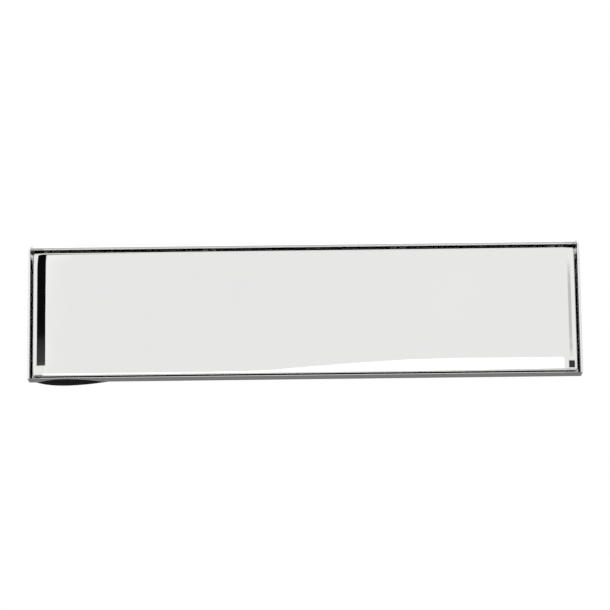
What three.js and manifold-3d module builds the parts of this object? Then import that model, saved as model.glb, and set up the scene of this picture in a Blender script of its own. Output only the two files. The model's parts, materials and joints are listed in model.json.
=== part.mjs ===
// Twelve-inch letter plate for a door: a chrome frame with a sprung flap that fills it,
// a plastic sleeve with draught brushes that lines the cut-out, and bolts through the door.
// Millimetres. +X is to the right seen from outside, +Y goes into the house, +Z is up.
// The origin is the middle of the door cut-out, on the door's outer face.
import * as THREE from 'three';
import { mergeVertices } from 'three/addons/utils/BufferGeometryUtils.js';
import Module from 'manifold-3d';

// Driving dimensions
const GAP = 0.3;              // clearance between pieces that touch
const DOOR_THICKNESS = 44;    // door that the plate is set for
const FRAME_W = 305;
const FRAME_H = 74.4;
const FRAME_DEPTH = 12;
const FRAME_CORNER = 2.7;     // radius of the upper corners seen from the front
const FRAME_FOOT = 0.4;       // radius of the lower corners
const RIM = 1.6;              // thickness of the rim beside the flap
const RIM_TOP = 2.2;
const RIM_BOTTOM = 0.9;
const RIM_SLOPE = 2.4;        // depth over which the rim's front slopes in towards the flap
const LIP_SIDE = 1.2;         // flat width of the rim's front at the sides
const LIP_EDGE = 0.15;        // the same along the top and the bottom
const BACK_RIM = 2.5;         // thickness of the wall behind the floor
const GASKET_T = 1.2;
const FLOOR_T = 2;            // the plate behind the flap that holds the slot
const SLOT_W = 264;
const SLOT_H = 40;
const SLOT_CORNER = 3;

const FLAP_W = 299.8;
const FLAP_TOP = 33.7;        // height of the flap's top edge over the middle
const FLAP_BOTTOM = -35.9;
const FLAP_CORNER = 2.9;
const FLAP_EDGE_R = 1.4;      // rounding of the face into the returned edges
const FLAP_SKIN = 1.2;
const FLAP_DEPTH = 5.7;       // returned edge, front to back
const PILLOW_W = 7.7;         // width of the gently curved border of the face
const PILLOW_DROP = 0.7;

const PIN_R = 1.25;
const KNUCKLE_R = 2.4;
const BORE_R = PIN_R + GAP;
const WIRE_R = 0.4;
const COIL_R = KNUCKLE_R - WIRE_R;
const COIL_TURNS = 4.5;
const COIL_PITCH = 1.15;
const EAR_X = [-143, -50, 50, 143];
const EAR_W = 3;
const KNUCKLE_X = [-138, -55, 55, 138];
const KNUCKLE_W = 4;
const PIN_HALF = 147;
const CLIP_T = 0.8;

const BOLT_X = 140.5;
const BOLT_R = 2.5;
const BOLT_HOLE_R = BOLT_R + GAP + 0.05;
const POST_R = 4.5;
const POST_END = 32;          // depth that the threaded posts reach into the door
const BORE_END = -3;          // bottom of the posts' bores
const BOLT_END = 8;           // depth of the bolts' tips at rest
const WASHER_R = 9;
const WASHER_T = 1.5;
const SLEEVE_WALL = 1.5;
const SLEEVE_W = 262;
const SLEEVE_H = 40;
const SLEEVE_END = 38;
const SLEEVE_SCREW_Z = 23;
const FLANGE_T = 1.2;
const SLEEVE_SCREW_X = 100;
const SCREW_R = 1.2;
const BRUSH_Y = 31.5;         // middle of the draught brushes inside the sleeve
const BRUSH_T = 2.4;

// Levels along Y, from the door's outer face at y = 0
const FRAME_BACK = -(GASKET_T + GAP);
const FRONT = FRAME_BACK - FRAME_DEPTH;
const FLOOR_FRONT = -5.2;
const FLOOR_BACK = FLOOR_FRONT + FLOOR_T;
const SKIN_BACK = FRONT + FLAP_SKIN;
const AXIS_Y = SKIN_BACK + KNUCKLE_R + GAP;
const AXIS_Z = FLAP_TOP - FLAP_SKIN - KNUCKLE_R - GAP;
const FLANGE_FRONT = FLOOR_BACK + GAP;
const FLANGE_BACK = FLANGE_FRONT + FLANGE_T;

const FINISH = {
  chrome: { color: 0xdfe1e2, roughness: 0.05, metalness: 1 },
  steel: { color: 0xa9abad, roughness: 0.35, metalness: 1 },
  brass: { color: 0xb5974a, roughness: 0.4, metalness: 1 },
  sleeve: { color: 0x17181a, roughness: 0.55, metalness: 0 },
  rubber: { color: 0x0c0c0d, roughness: 0.9, metalness: 0 },
  aluminium: { color: 0xb9bcbf, roughness: 0.45, metalness: 1 },
  bristle: { color: 0x1b1b1c, roughness: 0.8, metalness: 0 },
  cap: { color: 0xe9e9e6, roughness: 0.4, metalness: 0 },
};

const wasm = await Module();
wasm.setup();

// ---- solids ----

function toManifold(geometry) {
  const bare = geometry.clone();
  bare.deleteAttribute('normal');
  bare.deleteAttribute('uv');
  const merged = mergeVertices(bare, 1e-4);
  return new wasm.Manifold(new wasm.Mesh({
    numProp: 3,
    vertProperties: new Float32Array(merged.attributes.position.array),
    triVerts: new Uint32Array(merged.index.array),
  }));
}

function toGeometry(solid) {
  const mesh = solid.getMesh();
  const geometry = new THREE.BufferGeometry();
  geometry.setAttribute('position', new THREE.BufferAttribute(mesh.vertProperties, 3));
  geometry.setIndex(new THREE.BufferAttribute(mesh.triVerts, 1));
  return geometry;
}

function join(first, ...others) {
  const solid = others.reduce((sum, piece) => sum.add(toManifold(piece)), toManifold(first));
  return toGeometry(solid);
}

function cut(first, ...others) {
  const solid = others.reduce((rest, piece) => rest.subtract(toManifold(piece)), toManifold(first));
  return toGeometry(solid);
}

function hull(...pieces) {
  return toGeometry(wasm.Manifold.hull(pieces.map(toManifold)));
}

function common(first, ...others) {
  const solid = others.reduce((rest, piece) => rest.intersect(toManifold(piece)), toManifold(first));
  return toGeometry(solid);
}

// ---- basic shapes ----

// Rectangle with round corners between two heights, centred on x = 0.
function roundedRect(halfW, low, high, radius, foot = radius) {
  const shape = new THREE.Shape();
  shape.absarc(halfW - radius, high - radius, radius, 0, Math.PI / 2);
  shape.absarc(-halfW + radius, high - radius, radius, Math.PI / 2, Math.PI);
  shape.absarc(-halfW + foot, low + foot, foot, Math.PI, 1.5 * Math.PI);
  shape.absarc(halfW - foot, low + foot, foot, 1.5 * Math.PI, 2 * Math.PI);
  shape.closePath();
  return shape;
}

// Shape in the XZ plane, extruded from y = back forwards to y = front.
function plate(shape, back, front, options = {}) {
  const settings = { depth: back - front, bevelEnabled: false, curveSegments: 4, ...options };
  const geometry = new THREE.ExtrudeGeometry(shape, settings);
  return geometry.rotateX(Math.PI / 2).translate(0, back, 0);
}

function rectPlate(halfW, halfH, radius, back, front) {
  return plate(roundedRect(halfW, -halfH, halfH, radius), back, front);
}

function box(x0, x1, y0, y1, z0, z1) {
  const geometry = new THREE.BoxGeometry(x1 - x0, y1 - y0, z1 - z0);
  return geometry.translate((x0 + x1) / 2, (y0 + y1) / 2, (z0 + z1) / 2);
}

// Cylinder along Y from y0 to y1.
function rodY(radius, y0, y1, x, z, sides = 16) {
  const geometry = new THREE.CylinderGeometry(radius, radius, y1 - y0, sides);
  return geometry.translate(x, (y0 + y1) / 2, z);
}

// Cylinder along X on the hinge axis.
function rodX(radius, x0, x1, sides = 16) {
  const geometry = new THREE.CylinderGeometry(radius, radius, x1 - x0, sides);
  return geometry.rotateZ(Math.PI / 2).translate((x0 + x1) / 2, AXIS_Y, AXIS_Z);
}

// Turned piece along Y: the profile holds [radius, y] pairs in rising y.
function turnedY(profile, x, z, sides = 16) {
  const points = profile.map(([radius, y]) => new THREE.Vector2(radius, y));
  return new THREE.LatheGeometry(points, sides).translate(x, 0, z);
}

function named(name, geometry, finish) {
  const mesh = new THREE.Mesh(geometry, new THREE.MeshStandardMaterial(finish));
  mesh.name = name;
  return mesh;
}

// ---- frame ----

function ear(x) {
  const web = box(x - EAR_W / 2, x + EAR_W / 2, AXIS_Y - 1.4, FLOOR_FRONT + 0.4, AXIS_Z - 5, AXIS_Z - 0.4);
  return [rodX(KNUCKLE_R, x - EAR_W / 2, x + EAR_W / 2), web];
}

function screwSpots() {
  const spots = [];
  for (const x of [-SLEEVE_SCREW_X, SLEEVE_SCREW_X]) {
    for (const z of [SLEEVE_SCREW_Z, -SLEEVE_SCREW_Z]) spots.push([x, z]);
  }
  return spots;
}

// Opening of the frame, inset from its outline at the sides, the bottom and the top.
function mouth(side, bottom, top, back, front) {
  const outline = roundedRect(FRAME_W / 2 - side, -FRAME_H / 2 + bottom, FRAME_H / 2 - top, 1.1, FRAME_FOOT);
  return plate(outline, back, front);
}

function frameShell() {
  const rim = [RIM, RIM_BOTTOM, RIM_TOP];
  const lipBack = FRONT + RIM_SLOPE;
  const hollow = [FRAME_W / 2 - BACK_RIM, FRAME_H / 2 - BACK_RIM, 1];
  return cut(
    plate(roundedRect(FRAME_W / 2, -FRAME_H / 2, FRAME_H / 2, FRAME_CORNER, FRAME_FOOT), FRAME_BACK, FRONT),
    hull(mouth(LIP_SIDE, LIP_EDGE, LIP_EDGE, FRONT, FRONT - 1), mouth(...rim, lipBack + 0.1, lipBack)),
    mouth(...rim, FLOOR_FRONT, FRONT - 1),
    rectPlate(...hollow, FRAME_BACK + 1, FLOOR_BACK),
    rectPlate(SLOT_W / 2, SLOT_H / 2, SLOT_CORNER, 0, FRONT),
    ...screwSpots().map(([x, z]) => rodY(SCREW_R + GAP, FLOOR_FRONT + 0.6, 0, x, z, 10)),
  );
}

function frame() {
  const bosses = [-BOLT_X, BOLT_X].map((x) => rodY(6.8, FLOOR_BACK - 0.4, FRAME_BACK, x, 0));
  const spigotHoles = [-BOLT_X, BOLT_X].map((x) => rodY(BOLT_HOLE_R, FRONT, 0, x, 0));
  const sockets = [-BOLT_X, BOLT_X].map((x) => rodY(POST_R + GAP, FLOOR_BACK, 0, x, 0));
  const solid = join(frameShell(), ...bosses, ...EAR_X.flatMap(ear));
  return cut(solid, ...spigotHoles, ...sockets, rodX(BORE_R, -PIN_HALF, PIN_HALF, 12));
}

// Foam ring behind the frame. Near the left end its lower edge bulges out from under the rim.
function gasket() {
  const bulge = { from: -150.5, peak: -138, to: -104, drop: 2.75 };
  const halfW = FRAME_W / 2 - 1;
  const halfH = FRAME_H / 2 - 1;
  const shape = roundedRect(halfW, -halfH, halfH, 2);
  const ring = cut(plate(shape, 0, -GASKET_T), rectPlate(146, 30.5, 2, 1, -GASKET_T - 1));
  const lobe = new THREE.Shape();
  lobe.moveTo(bulge.from, -halfH + 1);
  lobe.lineTo(bulge.from, -halfH);
  lobe.quadraticCurveTo(bulge.peak, -halfH - 2 * bulge.drop, bulge.to, -halfH);
  lobe.lineTo(bulge.to, -halfH + 1);
  lobe.closePath();
  return join(ring, plate(lobe, 0, -GASKET_T, { curveSegments: 10 }));
}

// ---- flap ----

// Outline of a slab whose far face falls away in a parabola at both ends.
function pillowShape(low, high) {
  const shape = new THREE.Shape();
  const shoulder = -FRONT - PILLOW_DROP;
  shape.moveTo(low, 0);
  shape.lineTo(high, 0);
  shape.lineTo(high, shoulder);
  shape.quadraticCurveTo(high - PILLOW_W / 2, -FRONT, high - PILLOW_W, -FRONT);
  shape.lineTo(low + PILLOW_W, -FRONT);
  shape.quadraticCurveTo(low + PILLOW_W / 2, -FRONT, low, shoulder);
  shape.closePath();
  return shape;
}

function flapBlank() {
  const halfW = FLAP_W / 2;
  const bevel = {
    bevelEnabled: true,
    bevelSize: FLAP_EDGE_R,
    bevelThickness: FLAP_EDGE_R,
    bevelOffset: -FLAP_EDGE_R,
    bevelSegments: 5,
    curveSegments: 5,
  };
  const outline = roundedRect(halfW, FLAP_BOTTOM, FLAP_TOP, FLAP_CORNER);
  const rounded = plate(outline, FRONT + 20, FRONT + FLAP_EDGE_R, bevel);
  const slab = { depth: FLAP_W + 2, bevelEnabled: false, curveSegments: 5 };
  // The first slab curves the left and right borders, the second the top and bottom.
  const across = new THREE.ExtrudeGeometry(pillowShape(-halfW, halfW), slab);
  across.translate(0, 0, -halfW).rotateX(Math.PI);
  const upright = new THREE.ExtrudeGeometry(pillowShape(-FLAP_TOP, -FLAP_BOTTOM), slab);
  upright.translate(0, 0, -halfW - 1).rotateX(Math.PI).rotateY(Math.PI / 2);
  const back = box(-halfW - 1, halfW + 1, FRONT - 1, FRONT + FLAP_DEPTH, FLAP_BOTTOM - 1, FLAP_TOP + 1);
  return common(rounded, across, upright, back);
}

function knuckle(x) {
  const half = KNUCKLE_W / 2;
  const web = box(x - half, x + half, SKIN_BACK - 0.4, AXIS_Y, AXIS_Z - KNUCKLE_R, AXIS_Z + KNUCKLE_R);
  return [rodX(KNUCKLE_R, x - half, x + half), web];
}

function flap() {
  const halfW = FLAP_W / 2 - FLAP_SKIN;
  const cavityBevel = FLAP_EDGE_R - FLAP_SKIN;
  const outline = roundedRect(halfW, FLAP_BOTTOM + FLAP_SKIN, FLAP_TOP - FLAP_SKIN, FLAP_CORNER - FLAP_SKIN + 0.2);
  const cavity = plate(outline, 0, SKIN_BACK + cavityBevel, {
    bevelEnabled: true,
    bevelSize: cavityBevel,
    bevelThickness: cavityBevel,
    bevelOffset: -cavityBevel,
    bevelSegments: 3,
  });
  // The returned edge is cut back along the top, where it turns inside the rim.
  const relief = box(-FLAP_W, FLAP_W, AXIS_Y - GAP, 0, AXIS_Z - 3.2, FLAP_TOP + 1);
  const pan = cut(flapBlank(), cavity, relief);
  return cut(join(pan, ...KNUCKLE_X.flatMap(knuckle)), rodX(BORE_R, -PIN_HALF, PIN_HALF, 12));
}

function bumper(x) {
  const profile = [[0, SKIN_BACK + GAP], [3, SKIN_BACK + GAP], [3, FLOOR_FRONT - 1], [2.2, FLOOR_FRONT - GAP]];
  profile.push([0, FLOOR_FRONT - GAP]);
  return turnedY(profile, x, FLAP_BOTTOM + 6, 14);
}

// ---- hinge parts ----

// Torsion spring: one leg on the floor, the coil round the pin, one leg on the flap.
function torsionSpring(x0, direction) {
  const points = [[AXIS_Y + 3.7, -9.5], [AXIS_Y + 2.9, -8.2], [AXIS_Y + COIL_R, -6.2], [AXIS_Y + COIL_R, -3]]
    .map(([y, z]) => new THREE.Vector3(x0, y, AXIS_Z + z));
  const steps = Math.round(COIL_TURNS * 12);
  for (let i = 0; i <= steps; i += 1) {
    const turn = (i / steps) * COIL_TURNS;
    const angle = 2 * Math.PI * turn;
    const x = x0 + direction * COIL_PITCH * turn;
    points.push(new THREE.Vector3(x, AXIS_Y + COIL_R * Math.cos(angle), AXIS_Z + COIL_R * Math.sin(angle)));
  }
  const xEnd = x0 + direction * COIL_PITCH * COIL_TURNS;
  for (const z of [-3, -8, -14]) points.push(new THREE.Vector3(xEnd, AXIS_Y - COIL_R, AXIS_Z + z));
  const section = new THREE.Shape().absarc(0, 0, WIRE_R, 0, 2 * Math.PI);
  const path = new THREE.CatmullRomCurve3(points, false, 'centripetal');
  return new THREE.ExtrudeGeometry(section, { steps: 64, curveSegments: 3, extrudePath: path });
}

function pinClip(x) {
  const ring = rodX(2.2, x - CLIP_T / 2, x + CLIP_T / 2, 14);
  return cut(ring, rodX(BORE_R, x - 1, x + 1, 12));
}

// ---- fixings ----

// Cross recess cut into a screw head whose top is at y = top, facing +Y.
function crossRecess(x, z, top, reach) {
  const depth = 0.7;
  return [
    box(x - reach, x + reach, top - depth, top + 1, z - 0.35, z + 0.35),
    box(x - 0.35, x + 0.35, top - depth, top + 1, z - reach, z + reach),
  ];
}

function sleeveScrew(x, z) {
  const head = FLANGE_BACK + GAP;
  const top = head + 1.1;
  const profile = [[0, FLOOR_FRONT + 0.9], [SCREW_R, FLOOR_FRONT + 1.5], [SCREW_R, head], [2.4, head]];
  profile.push([2.4, top - 0.4], [1.7, top], [0, top]);
  return cut(turnedY(profile, x, z, 12), ...crossRecess(x, z, top, 1.1));
}

// Riveted brass post with a blind threaded bore that opens into the house.
function threadedPost(x) {
  const root = FLOOR_BACK + GAP;
  const profile = [[0, FLOOR_FRONT + 0.2], [BOLT_R, FLOOR_FRONT + 0.2], [BOLT_R, root], [POST_R, root]];
  profile.push([POST_R, POST_END - 0.6], [POST_R - 0.6, POST_END], [BOLT_R + GAP + 0.4, POST_END]);
  profile.push([BOLT_R + GAP, POST_END - 0.5], [BOLT_R + GAP, BORE_END + 1], [0, BORE_END]);
  return turnedY(profile, x, 0);
}

// Washer that the bolt's head pulls against the door's inner face.
function boltWasher(x) {
  const profile = [[BOLT_HOLE_R, DOOR_THICKNESS], [WASHER_R, DOOR_THICKNESS]];
  profile.push([WASHER_R, DOOR_THICKNESS + WASHER_T - 0.5], [WASHER_R - 1, DOOR_THICKNESS + WASHER_T]);
  profile.push([BOLT_HOLE_R, DOOR_THICKNESS + WASHER_T], [BOLT_HOLE_R, DOOR_THICKNESS]);
  return turnedY(profile, x, 0, 24);
}

const HEAD_BASE = DOOR_THICKNESS + WASHER_T + GAP;

function fixingBolt(x) {
  const top = HEAD_BASE + 2.6;
  const profile = [[0, BOLT_END], [BOLT_R - 0.8, BOLT_END], [BOLT_R, BOLT_END + 0.8], [BOLT_R, HEAD_BASE]];
  profile.push([4.6, HEAD_BASE], [4.6, HEAD_BASE + 1.4], [3.2, top], [0, top]);
  return cut(turnedY(profile, x, 0), ...crossRecess(x, 0, top, 1.9));
}

// Snap-on cap, a cup over the bolt's head.
function boltCap(x) {
  const profile = [[5, HEAD_BASE], [6, HEAD_BASE], [6, HEAD_BASE + 3.2], [4.8, HEAD_BASE + 4.2]];
  profile.push([0, HEAD_BASE + 4.2], [0, HEAD_BASE + 3.1], [5, HEAD_BASE + 3.1], [5, HEAD_BASE]);
  return turnedY(profile, x, 0, 20);
}

// ---- sleeve and brushes ----

// Rectangular tube through the door, with a flange screwed to the back of the floor.
function sleeve() {
  const inside = [SLEEVE_W / 2 - SLEEVE_WALL, SLEEVE_H / 2 - SLEEVE_WALL, SLEEVE_WALL];
  const holes = screwSpots().map(([x, z]) => rodY(SCREW_R + GAP, -10, 5, x, z, 10));
  return cut(
    join(
      rectPlate(SLEEVE_W / 2, SLEEVE_H / 2, 3, SLEEVE_END, FLANGE_FRONT),
      rectPlate(133.2, 27, 3, FLANGE_BACK, FLANGE_FRONT),
    ),
    rectPlate(...inside, SLEEVE_END + 1, FLANGE_FRONT - 1),
    ...holes,
  );
}

// Channel that holds a brush; side is +1 over the slot and -1 under it.
function brushCarrier(side) {
  const top = SLEEVE_H / 2 - SLEEVE_WALL - GAP;
  const bottom = top - 5;
  const halfT = BRUSH_T / 2 + 0.5;
  const span = (low, high) => (side > 0 ? [low, high] : [-high, -low]);
  const channel = box(-128.5, 128.5, BRUSH_Y - halfT - 0.8, BRUSH_Y + halfT + 0.8, ...span(bottom, top));
  return cut(channel, box(-130, 130, BRUSH_Y - halfT, BRUSH_Y + halfT, ...span(bottom - 1, top - 0.8)));
}

function brush(side) {
  const top = SLEEVE_H / 2 - SLEEVE_WALL - GAP - 0.8 - GAP;
  const bottom = 0.6;
  const half = BRUSH_T / 2;
  const heights = side > 0 ? [bottom, top] : [-top, -bottom];
  return box(-128, 128, BRUSH_Y - half, BRUSH_Y + half, ...heights);
}

// ---- assembly ----

function flapParts() {
  const parts = [
    named('frame', frame(), FINISH.chrome),
    named('flap', flap(), FINISH.chrome),
    named('hinge_pin', rodX(PIN_R, -PIN_HALF, PIN_HALF, 12), FINISH.steel),
  ];
  for (const [word, side] of [['left', -1], ['right', 1]]) {
    parts.push(named(`flap_spring_${word}`, torsionSpring(side * 46.5, -side), FINISH.steel));
    parts.push(named(`pin_clip_${word}`, pinClip(side * 145.4), FINISH.steel));
    parts.push(named(`flap_bumper_${word}`, bumper(side * 138), FINISH.rubber));
  }
  return parts;
}

function liningParts() {
  const parts = [
    named('gasket', gasket(), FINISH.rubber),
    named('sleeve', sleeve(), FINISH.sleeve),
  ];
  for (const [index, [x, z]] of screwSpots().entries()) {
    parts.push(named(`sleeve_screw_${index + 1}`, sleeveScrew(x, z), FINISH.steel));
  }
  for (const [word, side] of [['upper', 1], ['lower', -1]]) {
    parts.push(named(`${word}_brush_carrier`, brushCarrier(side), FINISH.aluminium));
    parts.push(named(`${word}_brush`, brush(side), FINISH.bristle));
  }
  return parts;
}

function fixingParts() {
  const parts = [];
  for (const [word, side] of [['left', -1], ['right', 1]]) {
    const x = side * BOLT_X;
    parts.push(named(`threaded_post_${word}`, threadedPost(x), FINISH.brass));
    parts.push(named(`fixing_bolt_${word}`, fixingBolt(x), FINISH.steel));
    parts.push(named(`bolt_washer_${word}`, boltWasher(x), FINISH.steel));
    parts.push(named(`bolt_cap_${word}`, boltCap(x), FINISH.cap));
  }
  return parts;
}

const group = new THREE.Group();
group.add(...flapParts(), ...liningParts(), ...fixingParts());

export default group;
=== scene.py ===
"""Looks of the letter plate: smooth meshes, materials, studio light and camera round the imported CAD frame."""
import json
import math
import random

import bmesh
import bpy
from mathutils import Matrix, Vector


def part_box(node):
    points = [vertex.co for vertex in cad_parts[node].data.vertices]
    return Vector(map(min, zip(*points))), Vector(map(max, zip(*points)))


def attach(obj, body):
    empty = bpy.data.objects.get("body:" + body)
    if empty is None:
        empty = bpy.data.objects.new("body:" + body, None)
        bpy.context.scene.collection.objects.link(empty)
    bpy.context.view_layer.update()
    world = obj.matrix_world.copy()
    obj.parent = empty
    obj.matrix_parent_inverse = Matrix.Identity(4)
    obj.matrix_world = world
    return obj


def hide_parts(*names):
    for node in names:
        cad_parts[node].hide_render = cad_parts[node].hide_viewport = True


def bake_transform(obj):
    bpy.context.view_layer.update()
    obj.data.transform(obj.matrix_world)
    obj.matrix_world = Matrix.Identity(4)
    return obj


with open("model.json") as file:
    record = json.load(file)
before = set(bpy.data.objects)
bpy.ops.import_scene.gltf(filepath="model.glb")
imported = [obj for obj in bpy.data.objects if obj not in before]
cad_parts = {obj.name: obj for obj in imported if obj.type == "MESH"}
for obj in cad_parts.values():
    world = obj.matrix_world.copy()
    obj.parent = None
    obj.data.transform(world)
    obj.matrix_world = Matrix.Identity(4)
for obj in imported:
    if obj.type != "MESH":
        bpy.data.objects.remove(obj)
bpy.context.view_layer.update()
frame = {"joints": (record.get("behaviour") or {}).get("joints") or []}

MM = 0.001
TAU = 2 * math.pi
SIDES = (("left", -1), ("right", 1))


# ---------------------------------------------------------------- sizes read from the frame

def low(node):
    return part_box(node)[0] / MM


def high(node):
    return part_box(node)[1] / MM


HINGE = [joint for joint in frame["joints"] if joint["name"] == "flap_hinge"][0]
AXIS_Y = HINGE["pos_m"][1] / MM
AXIS_Z = HINGE["pos_m"][2] / MM
FRONT = low("frame").y                    # plane of the rim's nose
BACK = high("frame").y
HALF_W = high("frame").x
HALF_H = high("frame").z
FLAP_HALF = high("flap").x
FLAP_TOP = high("flap").z
FLAP_BOTTOM = low("flap").z
PIN_HALF = high("hinge_pin").x
PIN_R = (high("hinge_pin").z - low("hinge_pin").z) / 2
SLEEVE_HALF_W = 131
SLEEVE_HALF_H = 20
SLEEVE_END = high("sleeve").y
FLANGE_FRONT = low("sleeve").y

# Sizes that the CAD part also uses and that no box gives, in mm
GAP = 0.3
RIM = 1.6
RIM_TOP = 2.2
RIM_BOTTOM = 0.9
RIM_SLOPE = 2.4
LIP_SIDE = 1.2
BACK_RIM = 2.5
FRAME_CORNER = 2.7
FRAME_FOOT = 0.4
FLOOR_FRONT = -5.2
FLOOR_BACK = -3.2
SLOT_HALF_W = 132
SLOT_HALF_H = 20
SLOT_CORNER = 3
RIM_TILT = (36, 76)                       # slope of the rim at its outer and inner edge, in degrees
FLAP_EDGE_R = 1.4
FLAP_SKIN = 1.2
FLAP_DEPTH = 5.7
PILLOW_W = 7.7
PILLOW_DROP = 0.7
KNUCKLE_R = 2.4
WIRE_R = 0.4
COIL_R = 2.0
COIL_TURNS = 4.5
COIL_PITCH = 1.15
EAR_X = (-143, -50, 50, 143)
EAR_W = 3
KNUCKLE_X = (-138, -55, 55, 138)
KNUCKLE_W = 4
BOLT_X = 140.5
BOLT_R = 2.5
POST_R = 4.5
SCREW_X = 100
SCREW_Z = 23
SCREW_R = 1.2
SLEEVE_WALL = 1.5


# ---------------------------------------------------------------- mesh helpers

def make(name, verts, faces, matrix=None):
    """Object from millimetre points."""
    mesh = bpy.data.meshes.new(name)
    mesh.from_pydata([Vector(v) * MM for v in verts], [], faces)
    bm = bmesh.new()
    bm.from_mesh(mesh)
    bmesh.ops.remove_doubles(bm, verts=bm.verts, dist=1e-7)
    bmesh.ops.recalc_face_normals(bm, faces=bm.faces)
    bm.to_mesh(mesh)
    bm.free()
    if matrix is not None:
        mesh.transform(matrix)
    piece = bpy.data.objects.new(name, mesh)
    bpy.context.scene.collection.objects.link(piece)
    return piece


def loft(loops, capped=False, cyclic=False):
    """Quads between loops of equal length; cyclic joins the last loop to the first."""
    count = len(loops[0])
    verts = [point for loop in loops for point in loop]
    faces = []
    pairs = len(loops) if cyclic else len(loops) - 1
    for i in range(pairs):
        a = i * count
        b = ((i + 1) % len(loops)) * count
        for k in range(count):
            n = (k + 1) % count
            faces.append((a + k, a + n, b + n, b + k))
    if capped:
        faces.append(tuple(range(count)))
        last = (len(loops) - 1) * count
        faces.append(tuple(last + k for k in range(count)))
    return verts, faces


def rounded(half_w, bottom, top, radius, y, steps=10):
    """Loop round a rectangle with round corners in the plane at depth y."""
    points = []
    centres = ((half_w - radius, top - radius), (radius - half_w, top - radius),
               (radius - half_w, bottom + radius), (half_w - radius, bottom + radius))
    for corner, (cx, cz) in enumerate(centres):
        for i in range(steps + 1):
            angle = (corner + i / steps) * math.pi / 2
            points.append((cx + radius * math.cos(angle), y, cz + radius * math.sin(angle)))
    return points


def turned(profile, steps=32):
    """Solid of revolution about the Y axis from (radius, y) pairs that start and end on it."""
    verts, faces = [], []
    rings = []
    for radius, y in profile:
        if radius < 1e-6:
            rings.append([len(verts)])
            verts.append((0, y, 0))
            continue
        rings.append(list(range(len(verts), len(verts) + steps)))
        for k in range(steps):
            angle = TAU * k / steps
            verts.append((radius * math.cos(angle), y, radius * math.sin(angle)))
    for a, b in zip(rings, rings[1:]):
        for k in range(steps):
            n = (k + 1) % steps
            quad = [a[k % len(a)], a[n % len(a)], b[n % len(b)], b[k % len(b)]]
            corners = list(dict.fromkeys(quad))
            if len(corners) > 2:
                faces.append(tuple(corners))
    return verts, faces


def ring(profile, steps=32):
    """Ring about the Y axis from a closed (radius, y) outline."""
    loops = []
    for radius, y in profile:
        loops.append([(radius * math.cos(TAU * k / steps), y, radius * math.sin(TAU * k / steps))
                      for k in range(steps)])
    return loft(loops, cyclic=True)


def moved(solid, x=0.0, y=0.0, z=0.0):
    verts, faces = solid
    return [(px + x, py + y, pz + z) for px, py, pz in verts], faces


def along_x(solid):
    """Turns a solid made about the Y axis to lie along X, on the hinge axis."""
    verts, faces = solid
    return [(py, px + AXIS_Y, pz + AXIS_Z) for px, py, pz in verts], faces


def sweep(points, radius, sides=12):
    """Closed tube along points."""
    path = [Vector(p) for p in points]
    loops = []
    side = None
    for i, here in enumerate(path):
        ahead = path[min(i + 1, len(path) - 1)] - path[max(i - 1, 0)]
        ahead.normalize()
        if side is None:
            side = ahead.orthogonal().normalized()
        side = (side - ahead * side.dot(ahead)).normalized()
        other = ahead.cross(side)
        loops.append([tuple(here + radius * (math.cos(TAU * k / sides) * side + math.sin(TAU * k / sides) * other))
                      for k in range(sides)])
    return loft(loops, capped=True)


def block(x0, x1, y0, y1, z0, z1):
    loops = [[(x0, y, z0), (x1, y, z0), (x1, y, z1), (x0, y, z1)] for y in (y0, y1)]
    return loft(loops, capped=True)


def boolean(piece, solids, operation):
    """Cuts or joins closed solids into a piece and applies the result."""
    tools = []
    for index, solid in enumerate(solids):
        tools.append(make(f"{piece.name}_tool_{index}", *solid))
    for tool in tools:
        modifier = piece.modifiers.new("bool", "BOOLEAN")
        modifier.operation = operation
        modifier.solver = "EXACT"
        modifier.object = tool
    depsgraph = bpy.context.evaluated_depsgraph_get()
    mesh = bpy.data.meshes.new_from_object(piece.evaluated_get(depsgraph))
    piece.modifiers.clear()
    old = piece.data
    piece.data = mesh
    bpy.data.meshes.remove(old)
    mesh.name = piece.name
    for tool in tools:
        data = tool.data
        bpy.data.objects.remove(tool)
        bpy.data.meshes.remove(data)
    return piece


def finish_piece(piece, material, body, nodes, sharp=35):
    """Smooth shading, material, and the piece's place in the assembly."""
    piece.data.materials.clear()
    piece.data.materials.append(material)
    piece.data.shade_smooth()
    piece.data.set_sharp_from_angle(angle=math.radians(sharp))
    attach(piece, body)
    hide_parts(*nodes)
    return piece


# ---------------------------------------------------------------- materials

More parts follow.
